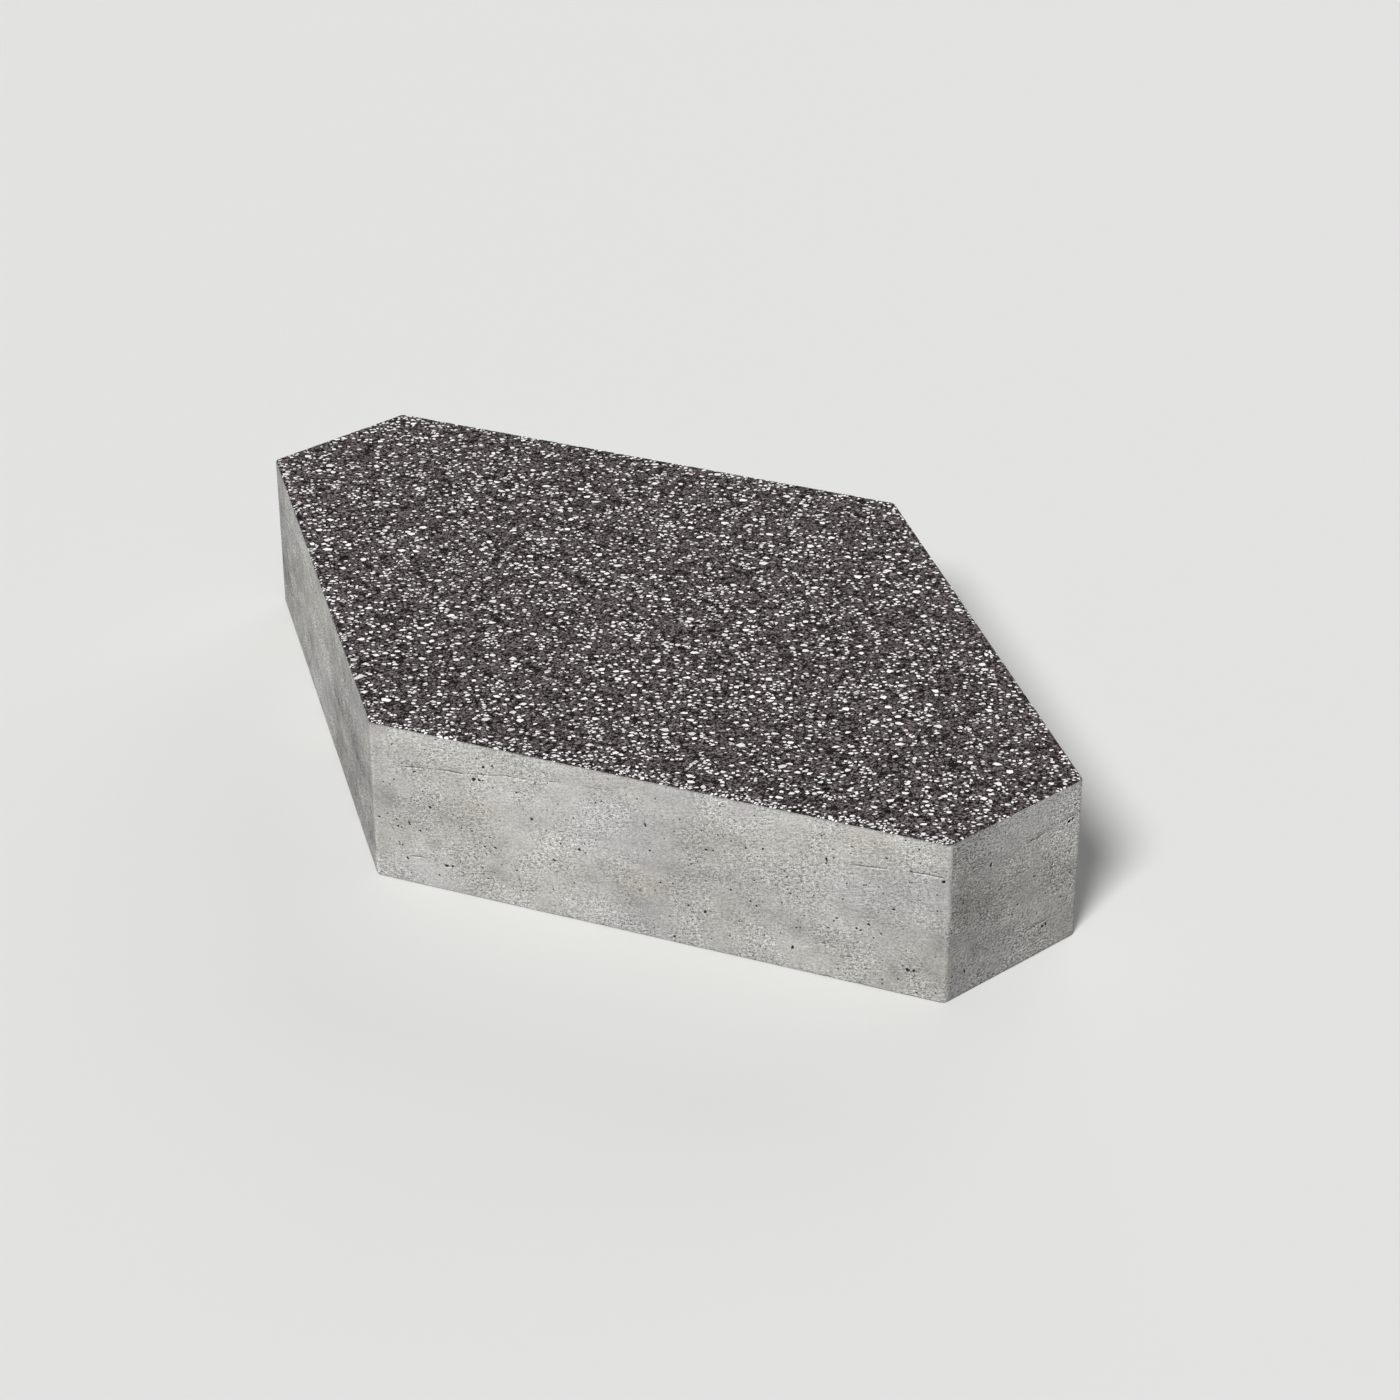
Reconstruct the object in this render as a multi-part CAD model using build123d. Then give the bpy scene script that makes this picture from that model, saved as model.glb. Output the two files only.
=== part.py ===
from build123d import *

import os

# A paver of cast concrete, lying on its underside. Sizes are in millimetres.
# Seen from above it is a hexagon drawn out along one axis: two short upright
# ends, and four long sides that slope to a blunt point in the middle of each
# flank. The sides of neighbouring pavers match, so the slopes are set by the
# length, the width and the short end alone.
# The origin is the middle of the underside, +X runs from end to end, +Y from
# point to point and +Z up to the wearing face.

length = 600.0  # from end face to end face, along X
width = 400.0  # from point to point, along Y
end_side = 100.0  # breadth of each short end face
thickness = 100.0  # underside to wearing face

corner_radius = 4.0  # the six upright corners, as the mould leaves them
face_arris_radius = 2.0  # round the wearing face
base_arris_radius = 1.0  # round the underside


def outline():
    """The hexagon seen from above, with its six corners rounded."""
    end_x = length / 2
    end_y = end_side / 2
    point_y = width / 2
    corners = [
        (end_x, end_y),
        (0, point_y),
        (-end_x, end_y),
        (-end_x, -end_y),
        (0, -point_y),
        (end_x, -end_y),
    ]
    hexagon = make_face(Polyline(*corners, close=True))
    return fillet(hexagon.vertices(), corner_radius)


def cast_block():
    """The outline carried straight up to the full thickness, then both rims rounded."""
    block = extrude(outline(), thickness)
    face_rim = block.faces().sort_by(Axis.Z)[-1].edges()
    block = fillet(face_rim, face_arris_radius)
    base_rim = block.faces().sort_by(Axis.Z)[0].edges()
    return fillet(base_rim, base_arris_radius)


paver = cast_block()
paver.label = "paver"

os.makedirs("parts", exist_ok=True)
export_step(paver, "parts/paver.step")
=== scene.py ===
"""A hexagonal paver of cast concrete.

Its walls are cement with air holes and the marks of the form, and its wearing face is stone crumbs in a
dark mix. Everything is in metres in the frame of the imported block: its origin is the middle of the
underside, +X runs from end face to end face, +Y from point to point and +Z up.
"""

import math

import bpy
import numpy as np
from bpy.props import FloatProperty, FloatVectorProperty, IntProperty, PointerProperty
from mathutils import Matrix, Vector


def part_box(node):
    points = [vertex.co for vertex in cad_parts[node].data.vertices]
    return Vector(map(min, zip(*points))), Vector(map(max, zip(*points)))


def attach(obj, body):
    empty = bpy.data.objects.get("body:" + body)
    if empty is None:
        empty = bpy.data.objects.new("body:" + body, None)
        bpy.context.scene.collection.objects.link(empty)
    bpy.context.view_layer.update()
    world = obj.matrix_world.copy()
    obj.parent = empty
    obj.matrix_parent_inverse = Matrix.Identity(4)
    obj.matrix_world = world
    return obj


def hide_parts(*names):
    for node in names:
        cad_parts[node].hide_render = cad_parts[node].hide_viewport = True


bl_info = {
    "name": "Hexagonal concrete paver",
    "version": (1, 0, 0),
    "blender": (4, 5, 0),
    "location": "3D View > Sidebar > Paver",
    "description": "Dresses a cast hexagonal paver with its cement walls and its face of stone crumbs",
    "category": "Object",
}

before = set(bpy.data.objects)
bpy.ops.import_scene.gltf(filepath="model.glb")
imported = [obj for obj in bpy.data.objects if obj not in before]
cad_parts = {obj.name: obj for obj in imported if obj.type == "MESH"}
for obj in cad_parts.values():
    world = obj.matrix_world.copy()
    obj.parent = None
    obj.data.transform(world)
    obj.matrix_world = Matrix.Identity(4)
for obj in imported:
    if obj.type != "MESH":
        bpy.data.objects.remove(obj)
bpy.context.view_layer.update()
BLOCK_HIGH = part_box("paver")[1]
BODY = "root"
MM = 0.001
BAKE_MAP = "OFBake"
WALL_MAP = "WallMap"
SIDES = 6
PALE, BLACK, BROWN, UMBER, DRAB, BARE = range(6)
LEFT_END, LEFT_FRONT, RIGHT_FRONT, RIGHT_END, RIGHT_BACK, LEFT_BACK = range(SIDES)

# The mesh of the block.
CUTS = 5  # small cells along each side of a cut cell
ARC_CELLS = 5  # cells round each rounding
LIP = 0.12 * MM  # the step from the dark mix up to the cement is this wide
POINT_ROUNDS = 6  # rounds in which the sharp points of the plan settle
HOLE_CUT = 1.2  # cells are cut this far round a hole, in its half sizes
MARK_CUT = 0.5 * MM  # and this far beside a mark
CELL_CUT = 0.6  # both go this share of a cell further
SLACK = 1e-7  # a face that starts this close before a side counts to that side
TINY = 1e-9  # keeps a division by a distance from failing
BAKE_GAP = 1.5 * MM  # between the strips of the bake map
FLAT_SHRINK = 0.16  # the flat faces are drawn this small on the bake map

# Noises of the relief and of the crumbs by name: grain, seed and number of waves.
RELIEF_NOISES = {
    "swell": (70 * MM, 11, 16),
    "ripple": (16 * MM, 12, 16),
    "bites": (8 * MM, 14, 24),
    "shade": (60 * MM, 21, 24),
    "wander": (22 * MM, 40, 8),
    "broken": (26 * MM, 80, 8),
    "gather": (16 * MM, 2, 16),
}
WAVE_LENGTHS = (0.7, 1.6)  # of a noise's waves, in grains
WAVE_SHARE = 0.8  # how far the slow waves swing the relief
RIPPLE_SHARE = 0.45  # of the finer noise in them

# Random air holes. Their half sizes are the smallest one plus an exponential spread.
COUNT_AREA = 0.01  # square metres, on which hole_spread counts them
HOLE_MARGIN = 5 * MM  # they keep this far from the wall's edges
HOLE_SMALLEST = 0.45 * MM
HOLE_SPREAD = 0.22 * MM
HOLE_LARGEST = 1.4 * MM
HOLE_HEIGHTS = (0.6, 1.15)  # in widths
HOLE_TILT = 0.5  # radians
HOLE_LOBES = (0.12, 0.1)  # how far a rim swells twice and three times round
FILLER_SHARE = 0.8  # of the random holes, on a wall that has placed ones
FILLER_LARGEST = (0.6 * MM, 0.55 * MM)  # their greatest half width and half height
HOLE_DEPTH = 1.4  # in half sizes
HOLE_DEEPEST = 1.2 * MM
HOLE_EXTRA = 0.2 * MM  # deeper by this, so that small ones stay dark
HOLE_BOWL = (0.2, 1.15)  # the bowl rises between these parts of the rim

# Form marks.
MARK_REACH = 2 * MM  # beyond this a point knows of no mark
MARK_FADE = 9 * MM  # a mark dies out over this at its ends
MARK_BOW = 60  # a mark's length over its bow
MARK_WANDER = 0.25 * MM
MARK_GROOVE = 0.6 * MM  # half width of the groove
MARK_NEAR = (0.65, 0.87)  # its strength dies out between these shares of its reach
MARK_BROKEN = (0.75, 0.7)  # middle and swing of its strength along it
MARK_WEAKEST = 0.2

# Worn arrises.
BITE_EDGE = (0.45, 1.4)  # a bite starts where the noise passes the first and is full at the second
BITE_DEPTH = 0.6 * MM
FLAT_FADE = 0.6 * MM  # the relief dies out over this before the flat underside

# The air holes that show best on the two walls at the right, as (distance along the wall, height, half
# width, half height) in millimetres. The distance runs from the wall's left corner, seen from outside. Every
# wall gets random ones too.
PLACED_HOLES = {
    RIGHT_FRONT: (
        (62.5, 76.9, 1.4, 0.95), (65.8, 77.1, 0.8, 0.8), (43.8, 16.4, 1.3, 0.85), (47.4, 16.9, 0.75, 0.75),
        (314.4, 16.5, 1.4, 0.85), (317.9, 16.8, 0.9, 0.7), (332.4, 76.4, 1.15, 0.85),
        (267.5, 74.4, 0.65, 1.5), (163.8, 71.4, 0.6, 1.25), (68.4, 85.9, 1.0, 0.75),
        (96.7, 59.4, 0.9, 0.85), (34.9, 52.6, 0.9, 0.85), (124.8, 46.5, 1.0, 0.8),
        (199.1, 64.2, 0.85, 0.75), (198.6, 24.4, 0.75, 1.2), (249.1, 14.1, 0.7, 1.4),
        (180.6, 3.9, 0.85, 0.65), (292.0, 39.6, 0.85, 0.75), (305.4, 52.5, 0.8, 0.75),
        (21.6, 39.6, 0.7, 0.6), (74.1, 35.4, 0.9, 0.65), (73.7, 87.7, 0.8, 0.55), (87.8, 74.3, 0.65, 0.6),
        (3.1, 39.1, 0.7, 0.6), (14.6, 35.7, 0.75, 0.7), (16.8, 35.1, 0.7, 0.55), (28.2, 35.6, 0.65, 0.55),
        (67.6, 34.9, 0.8, 0.45), (109.5, 36.0, 1.05, 0.6), (26.2, 73.5, 0.85, 0.5), (40.2, 96.9, 0.7, 0.5),
        (38.9, 9.1, 0.65, 0.5), (69.3, 14.1, 0.5, 0.65), (113.6, 47.6, 0.55, 0.75), (206.9, 93.6, 0.5, 0.7),
        (138.3, 80.5, 0.65, 0.5), (134.9, 78.6, 0.65, 0.55), (166.4, 55.8, 0.65, 0.6),
        (172.5, 36.8, 0.65, 0.6), (213.4, 42.1, 0.65, 0.6), (228.1, 35.5, 0.65, 0.65),
        (213.1, 12.3, 0.65, 0.5), (226.9, 51.6, 0.6, 0.55), (231.6, 72.6, 0.65, 0.6),
        (271.4, 76.6, 0.65, 0.5), (245.5, 58.4, 0.6, 0.55), (247.4, 48.2, 0.6, 0.55),
        (242.7, 41.2, 0.55, 0.55), (273.9, 39.2, 0.75, 0.55), (272.3, 36.9, 0.55, 0.55),
        (285.1, 35.5, 0.7, 0.75), (287.4, 34.8, 0.7, 0.55), (298.9, 35.4, 0.65, 0.55),
        (314.4, 78.5, 0.7, 0.5), (310.8, 96.7, 0.45, 0.6), (318.4, 93.0, 0.55, 0.55),
        (309.2, 9.1, 0.55, 0.5), (320.0, 3.0, 0.6, 0.6), (277.0, 52.0, 0.6, 0.55),
    ),
    RIGHT_END: (
        (31.5, 74.4, 0.75, 1.6), (90.6, 76.7, 1.25, 1.0), (93.3, 77.3, 0.85, 1.0), (73.9, 16.7, 1.1, 0.95),
        (76.5, 17.2, 0.85, 1.0), (14.9, 14.3, 0.65, 1.1), (47.2, 35.9, 0.65, 0.55), (49.2, 35.2, 0.55, 0.5),
        (53.5, 39.8, 0.65, 0.55), (65.8, 52.4, 0.95, 0.65), (11.8, 58.9, 0.75, 0.45),
        (95.3, 85.7, 0.85, 0.55), (95.1, 34.6, 0.55, 0.45), (5.6, 14.5, 0.45, 0.75),
    ),
}

# Marks that the form's boards left, as (from, height there, to, height there) in millimetres along each
# wall, and how plain each one is, 0 to 1.
FORM_MARKS = {
    LEFT_END: ((12.0, 22.0, 78.0, 27.0, 0.8),),
    LEFT_FRONT: ((24.0, 74.0, 190.0, 84.0, 0.8), (170.0, 16.0, 320.0, 24.0, 0.8)),
    RIGHT_FRONT: (
        (16.0, 75.0, 62.0, 79.8, 0.9),
        (56.0, 79.4, 102.0, 85.2, 0.7),
        (96.0, 84.9, 152.0, 88.5, 0.5),
        (2.0, 15.0, 36.0, 19.0, 0.7),
        (272.0, 73.4, 338.0, 79.4, 0.85),
        (274.0, 15.4, 302.0, 18.8, 0.5),
    ),
    RIGHT_END: (
        (36.0, 75.0, 68.0, 76.6, 0.6),
        (58.0, 75.6, 104.0, 80.2, 0.85),
        (44.0, 17.2, 84.0, 20.6, 0.7),
    ),
    RIGHT_BACK: ((18.0, 78.0, 140.0, 86.0, 0.8), (196.0, 18.0, 318.0, 23.0, 0.8)),
    LEFT_BACK: ((60.0, 20.0, 176.0, 26.0, 0.8), (214.0, 74.0, 326.0, 82.0, 0.8)),
}

# Soft washes of lighter and darker cement, as (distance along the wall, height, reach along, reach up) in
# millimetres and how much lighter the middle is, as a share. Other walls get slow noise instead. The right
# end wall's washes paint its light: painted shade towards its left corner, lighter towards its right one,
# with a narrow painted highlight along that corner.
WASHES_AND_PAINTED_LIGHT = {
    LEFT_FRONT: (
        (28.0, 38.0, 16.0, 60.0, -0.15),
        (95.0, 95.0, 60.0, 25.0, 0.09),
        (165.0, 62.0, 42.0, 38.0, 0.17),
        (262.0, 35.0, 52.0, 55.0, -0.19),
        (225.0, 30.0, 14.0, 45.0, -0.06),
        (8.0, 66.0, 18.0, 50.0, -0.07),
        (276.0, 62.0, 32.0, 18.0, -0.09),
        (262.0, 24.0, 30.0, 12.0, -0.05),
        (332.0, 80.0, 20.0, 22.0, -0.06),
    ),
    RIGHT_FRONT: (
        (108.0, 48.0, 32.0, 32.0, 0.13),
        (192.0, 28.0, 42.0, 34.0, -0.11),
        (36.0, 46.0, 34.0, 22.0, -0.03),
        (290.0, 42.0, 40.0, 22.0, -0.05),
        (332.0, 30.0, 26.0, 90.0, 0.235),
        (150.0, 45.0, 16.0, 55.0, -0.055),
        (176.0, 8.0, 32.0, 22.0, -0.06),
        (88.0, 36.0, 16.0, 24.0, 0.035),
        (9.0, 53.0, 5.0, 6.0, -0.13),
        (56.0, 44.0, 6.0, 6.0, -0.08),
        (279.0, 54.0, 7.0, 6.0, -0.08),
        (90.0, 83.0, 8.0, 2.2, 0.19),
        (108.5, 85.4, 5.5, 1.7, 0.18),
        (150.0, 24.0, 24.0, 34.0, -0.04),
    ),
    # Painted light: painted shade towards this wall's left corner, lighter towards its right, and a narrow
    # painted highlight on that corner.
    RIGHT_END: (
        (1.0, 40.0, 32.0, 80.0, -0.32),
        (0.0, 50.0, 8.0, 90.0, -0.07),
        (102.0, 60.0, 46.0, 80.0, 0.235),
        (50.0, 24.0, 90.0, 30.0, -0.05),
        (64.0, 34.0, 34.0, 26.0, -0.05),
        (26.0, 14.0, 60.0, 24.0, -0.06),
        (100.0, 50.0, 3.0, 90.0, 0.08),
    ),
}
PALE_BAND = 0.09  # how much lighter the walls' upper band is, as a share
PALE_RISE = (62 * MM, 96 * MM)  # the heights between which it comes in
BAND_MIDDLE = 0.3  # of the band's share, at which a wall is as light as its colour says
SHADE_PLACED = 0.025  # swing of the slow noise on walls with placed washes, as a share
SHADE_ELSEWHERE = 0.07
# How blotchy and how grainy each wall is beside its plain colour: the light grazes some more than others.
BLOTCHY = {LEFT_FRONT: 1.5, RIGHT_FRONT: 0.95, RIGHT_END: 1.15}
GRAINY = {LEFT_FRONT: 1.2, RIGHT_FRONT: 1.0, RIGHT_END: 1.5}
ELSEWHERE = 1.4
GRAIN_SLANT = 0.24  # radians by which the cement's grain rises to the right
FALLING = (LEFT_END, RIGHT_END)  # walls whose grain falls to the right instead

# The shades' noises by name: grain in metres, then, where it isn't the usual, how many finer grains lie in
# it, how strong those are and how far it is twisted.
SHADE_NOISES = {
    "clouds": (55 * MM, 1, 0.5),
    "patches": (20 * MM, 3, 0.55),
    "blotches": (8 * MM, 2, 0.5),
    "stains": (35 * MM, 2, 0.5, 0.6),
    "lively": (28 * MM, 2, 0.5),
    "speckle": (1.4 * MM, 2, 0.65),
    "sand": (0.6 * MM, 1, 0.5),
    "strokes": (1.3 * MM, 2, 0.6),
    "flanks": (1.1 * MM,),
    "pin groups": (11 * MM, 2, 0.6),
    "fray": (1.2 * MM, 2, 0.6),
    "ragged": (3 * MM, 2, 0.6),
    "stone grain": (0.8 * MM, 2, 0.6),
    "stone patch": (3 * MM, 2, 0.5),
}
USUAL_NOISE = (2.0, 0.5, 0.0)
# How far each of them swings the lightness, as a share.
SWING = {
    "clouds": 0.45,
    "patches": 0.75,
    "blotches": 0.4,
    "speckle": 1.95,
    "sand": 1.7,
    "strokes": 0.4,
    "flanks": 2.8,
    "stone grain": 0.35,
    "stone patch": 0.25,
}
# How much each of them raises the bare cement for its bump, and how much a pinhole lowers it.
RAISED = {"speckle": 0.6, "sand": 0.6, "strokes": 0.2}
PIN_DEPTH = 1.5
# From where to where a number rises from 0 to 1, by what it shows.
RISE = {
    "clouds": (0.4, 0.7),
    "stains": (0.6, 0.8),
    "lively": (0.35, 0.65),
    "spots": (0.06, 0.2),
    "pins": (0.08, 0.15),
    "pin groups": (0.48, 0.53),
    "hollow": (0.44, 0.56),
    "line": (0, 0.14),
    "lip_highlight": (0, 0.4),
    "under facing": (-1.3, -0.1),
    "facing": (-0.06, 0.06),
    "sand grain": (0.35, 0.62),
    "sand shade": (0.3, 0.95),
    "pale sand": (0.86, 0.9),
}
# How strongly each of them tells, as a share of the full colour or of the lightness.
STRENGTH = {
    "clouds": 0.8,
    "stains": 0.65,
    "spots": 0.09,
    # The strengths of pinholes, holes and form-mark lines below paint shade. Those of worn arrises (partly)
    # and of a mark's lip and haze paint highlight.
    "pins": 0.9,
    "worn": 0.22,
    "hollow": 0.96,
    "line": 0.72,
    "lip_highlight": 0.2,
    "haze_highlight": 0.08,
    "under facing": 0.4,
    "sand grain": 0.85,
    "pale sand": 0.8,
}
BROAD = (0.5, 1.0)  # a small first factor draws the noise out along the wall
SANDY = (0.65, 1.05)
STROKE = (0.15, 1.0)
STAIN_SHIFT = (3.5 * MM, 41 * MM)  # moves the stains to where they show
FLANK_SHIFT = (0.4 * MM, -0.3 * MM)  # from a grain's lit flank to its shaded one
LIVELY = (0.55, 0.9)  # least liveliness of the grain, and its swing
SPOT_SPACING = 30 * MM
PIN_SPACING = 4.2 * MM
PIN_LIMIT = 1.9  # no pinholes where a wall is as grainy as this
SAND_SPACING = 0.9 * MM
# The paleness of worn arrises is partly real wear and partly a painted highlight along the corners and the
# base arris.
WORN_HIGHLIGHT_LEVEL = 0.9  # how pale a fully worn arris is, before it frays
HOLE_FRAY = 0.12
# A form mark is painted: its dark line is painted shade in its groove, and its pale lip and the faint haze
# below it are painted highlight where the step catches the light.
GROOVE_SHADE_WIDTH = (0.46, 0.9)  # in millimetres at full strength, and how far it frays
LIP_HIGHLIGHT_WIDTH = 0.7
LIP_BELOW = 0.8  # millimetres from a mark to the middle of its pale lip
HAZE_BELOW = 0.9
RAGGED_EDGE = 0.4 * MM  # how far the edge of the facing wanders
CEMENT_ROUGH = 0.86
CEMENT_LEVEL = 0.6  # of the cement's bump, where its roughness is the plain one
CEMENT_ROUGH_SWING = 0.08
FACING_ROUGH = 0.9
BUMP_DEPTH = 0.25 * MM
BUMP_STRENGTH = 0.9
BED_LIGHT = 0.93
BED_ROUGH = 0.92
BED_BUMP = (0.3 * MM, 0.6)
STONE_ROUGH_SWING = 0.1
PLAIN_SHINE = 0.15
FACE_SHINE = 0.03  # the wearing face is dull, so its black crumbs stay black

# The field of crumbs.
CORNERS = 5  # of each crumb
FIELD_PAD = 4  # grid places past the block on every side
ROW_STEP = math.sqrt(0.75)  # from row to row of the honeycomb grid, in pitches
MIDDLE_SHIFT = 0.4  # in pitches
LARGE_SCORE = 0.97  # of a random score from 0 to 1, past which a crumb is large
LIE_ANGLE = 0.85  # radians from +X: the crumbs lie along this line more than across it
LIE_SPREAD = 0.6  # radians
LIE_STRETCH = 1.12
GATHER_SWING = 0.5  # of the pale crumbs, which keep together a little
GATHER_LIMITS = (0.3, 2)
LARGE_GATHER = 2.4  # a large crumb is pale this much more often
RIM_WIDTH = 3 * MM  # pale crumbs lie closer along the rims, to this far from the roundings
# The extra pale crumbs along the right front rim, which faces the key lamp, paint a highlight along its
# arris.
RIM_GATHER_AND_HIGHLIGHT = {RIGHT_FRONT: 2.2}  # how much closer, as a share
RIM_ELSEWHERE = 0.8
WEIGHT_SPREAD = 0.36  # a crumb's weight against its neighbours' says how large it grows
PALE_WEIGHT = 2.05
BLACK_WEIGHT = 1.1
LARGE_WEIGHT = 1.25
CORNER_SHIFT = 0.28  # in steps from corner to corner
LONGEST_RAY = 2.6  # in pitches
LONGEST_CORNER = 1.35  # in mean rays of the same crumb
PALE_SLIM = 0.62  # the slimmest crumb is narrower by this share
OTHER_SLIM = 0.45
# Pale crumbs fill less of their cells, so a ring of the dark mix, partly painted shade, shows round each.
PALE_FILL = 0.93  # how much of its cell a crumb fills
OTHER_FILL = 0.97
CRUMB_GAP = 0.04 * MM  # and this is taken off all round
WRAP_SHARE = 0.9  # the outermost crumbs reach this share of the way that the facing wraps

# One crumb.
CRUMB_TILT = 0.06
TILT_SIZE = 1.2 * MM  # crumbs wider than this tilt less
CRUMB_SINK = (0.02 * MM, 0.05 * MM)  # mean and spread of how far its top lies under the face
CRUMB_FOOT = 0.2 * MM  # depth of its foot in the mix
PLAIN_RINGS = ((0.9, 0.0),)  # rings of corners above the foot, as (share of the foot, height)
SHOULDER_RINGS = ((0.8, 0.0), (0.95, -0.05 * MM))
BAKE_RINGS = (0.6, 1)  # sizes of the innermost and outermost ring on the bake map
BAKE_FILL = 0.44  # a crumb's reach there, in squares
# Pieces of crumbs: kind, colour, roughness, whether they have a shoulder, and the beta spread of their
# shades.
CRUMB_PIECES = {
    "pale_crumbs": (PALE, "pale", 0.6, True, (2.6, 1.1)),
    "black_crumbs": (BLACK, "black", 0.6, False, (1.6, 1.6)),
    "brown_crumbs": (BROWN, "brown", 0.75, False, (1.6, 1.6)),
    "umber_crumbs": (UMBER, "brown", 0.75, False, (1.6, 1.6)),
    "drab_crumbs": (DRAB, "drab", 0.75, False, (1.6, 1.6)),
}

# The stage. Azimuths are in degrees to the right of the front, and elevations above the floor.
FLOOR_REACH = 12.0
FLOOR_ROUGH = 0.9
FLOOR_BOUNCE = 0.32  # how light the floor is for the light that it throws back
KEY_AZIMUTH = 24.0  # so the right front wall is brightest
KEY_ELEVATION = 46.0
KEY_STRENGTH = 3.75
KEY_SPREAD = 18.0
FILL_ELEVATION = 8.0  # a low lamp straight across from the key lamp, for the back walls
FILL_STRENGTH = 1.4
FILL_SPREAD = 60.0
ROOM_LIGHT = 0.224
ROOM_SEEN = 0.9  # how light the room is to the camera
CAMERA_AZIMUTH = 48.742
CAMERA_ELEVATION = 30.169
CAMERA_ROLL = -0.069
CAMERA_PLACE = (1.36422, -1.15556, 1.07567)
PHOTO_WIDTH = 1400
FOCAL_PIXELS = 3510.6
SENSOR_WIDTH = 36.0


def paint(red, green, blue):
    """A colour as seen on a screen, 0 to 255 each, turned into the linear values that shaders use by the
    standard rule: a straight part near black, and a power of 2.4 above it."""
    screen = np.array([red, green, blue]) / 255
    linear = np.where(screen <= 0.04045, screen / 12.92, ((screen + 0.055) / 1.055) ** 2.4)
    return tuple(float(v) for v in linear)


def length_prop(name, description, millimetres, low=0.0):
    """A length that the user can set, stored in metres."""
    metres, least = millimetres * MM, low * MM
    return FloatProperty(
        name=name, description=description, default=metres, min=least, unit="LENGTH", precision=5
    )


def colour_prop(name, description, red, green, blue):
    """A colour that the user can set."""
    default = paint(red, green, blue)
    return FloatVectorProperty(
        name=name, description=description, default=default, size=3, min=0, max=1, subtype="COLOR"
    )


def share_prop(name, description, default, low=0.0, high=1.0):
    """A share that the user can set."""
    return FloatProperty(
        name=name, description=description, default=default, min=low, max=high, subtype="FACTOR"
    )


class PaverSizes(bpy.types.PropertyGroup):
    """Sizes of the paver's outline, mesh and relief."""

    end_side: length_prop("End side", "Breadth of each short end face", 100)
    corner_radius: length_prop("Corner radius", "Rounding of the six upright corners", 4)
    face_arris: length_prop("Face arris", "Rounding round the wearing face", 2)
    base_arris: length_prop("Base arris", "Rounding round the underside", 1)
    wall_step: length_prop("Wall step", "Size of the walls' cells away from holes", 2.2, 1)
    waviness: length_prop("Waviness", "Depth of the walls' slow waves", 0.09)
    hole_spread: FloatProperty(
        name="Hole spread", description="Random air holes on 100 square centimetres", default=11, min=0
    )
    mark_depth: length_prop("Mark depth", "Depth of the form's marks", 0.2)
    facing_recess: length_prop("Facing recess", "Depth of the mix between the crumbs", 0.2)
    facing_wrap: share_prop("Facing wrap", "How far the facing comes round its arris", 0.66, 0.2, 0.9)
    crumb_pitch: length_prop("Crumb pitch", "Mean spacing of the crumbs in the face", 1.95, 1)
    pale_share: share_prop("Pale share", "Share of pale crumbs", 0.16)
    black_share: share_prop("Black share", "Share of black crumbs", 0.145)
    bare_share: share_prop("Bare share", "Share of crumbs fallen out", 0.05)
    seed: IntProperty(name="Seed", description="Sets the random layout", default=7, min=0)


class PaverColours(bpy.types.PropertyGroup):
    """Colours of the paver's mixes and crumbs."""

    cement: colour_prop("Cement", "Main grey of the walls", 177, 176, 171)
    cement_warm: colour_prop("Warm cement", "Faint stains on the walls", 177, 174, 162)
    cement_cool: colour_prop("Cool cement", "Darker clouds on the walls", 170, 169, 168)
    # Near black, for dust and painted shade: the insides of air holes, the pinholes and the grooves of form
    # marks are painted with it.
    hole: colour_prop("Hole", "Inside of air holes", 26, 25, 23)
    # Dark paste between the crumbs, made darker to paint the shade in the gaps between them.
    facing: colour_prop("Facing mix", "Dark paste between the crumbs", 36, 30, 30)
    pale_low: colour_prop("Pale crumb, dull", "Dullest of the pale crumbs", 184, 179, 179)
    pale_high: colour_prop("Pale crumb, bright", "Brightest of the pale crumbs", 252, 248, 248)
    brown_low: colour_prop("Brown crumb, dark", "Darkest of the brown crumbs", 60, 53, 53)
    brown_high: colour_prop("Brown crumb, light", "Lightest of the brown crumbs", 138, 129, 130)
    drab_low: colour_prop("Drab crumb, dark", "Darkest of the drab crumbs", 58, 52, 49)
    drab_high: colour_prop("Drab crumb, light", "Lightest of the drab crumbs", 135, 126, 121)
    black_low: colour_prop("Black crumb", "Darkest of the black crumbs", 8, 6, 6)
    black_high: colour_prop("Black crumb, worn", "Lightest of the black crumbs", 36, 32, 32)
    floor: colour_prop("Floor", "Plain floor under the paver", 215, 215, 213)


def smooth_step(value, low, high):
    """0 below low, 1 above high, and 3x^2 - 2x^3 between them, where x is how far value has come."""
    x = np.clip((value - low) / (high - low), 0, 1)
    return x * x * (3 - 2 * x)


def soft_noise(points, name, more=0):
    """Smooth noise about 0 with a spread of 0.5: half the sum of cos(k.p + phase) over the root of half the
    number of waves. Each wave k has a random direction and a length near the grain. more is added to the
    noise's seed."""
    grain, seed, waves = RELIEF_NOISES[name]
    rng = np.random.default_rng(seed + more)
    total = np.zeros(points.shape[:-1])
    for _ in range(waves):
        direction = rng.normal(size=points.shape[-1])
        direction *= 2 * math.pi / (np.linalg.norm(direction) * grain * rng.uniform(*WAVE_LENGTHS))
        total += np.cos(points @ direction + rng.uniform(0, 2 * math.pi))
    return total / (2 * math.sqrt(waves / 2))


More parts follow.
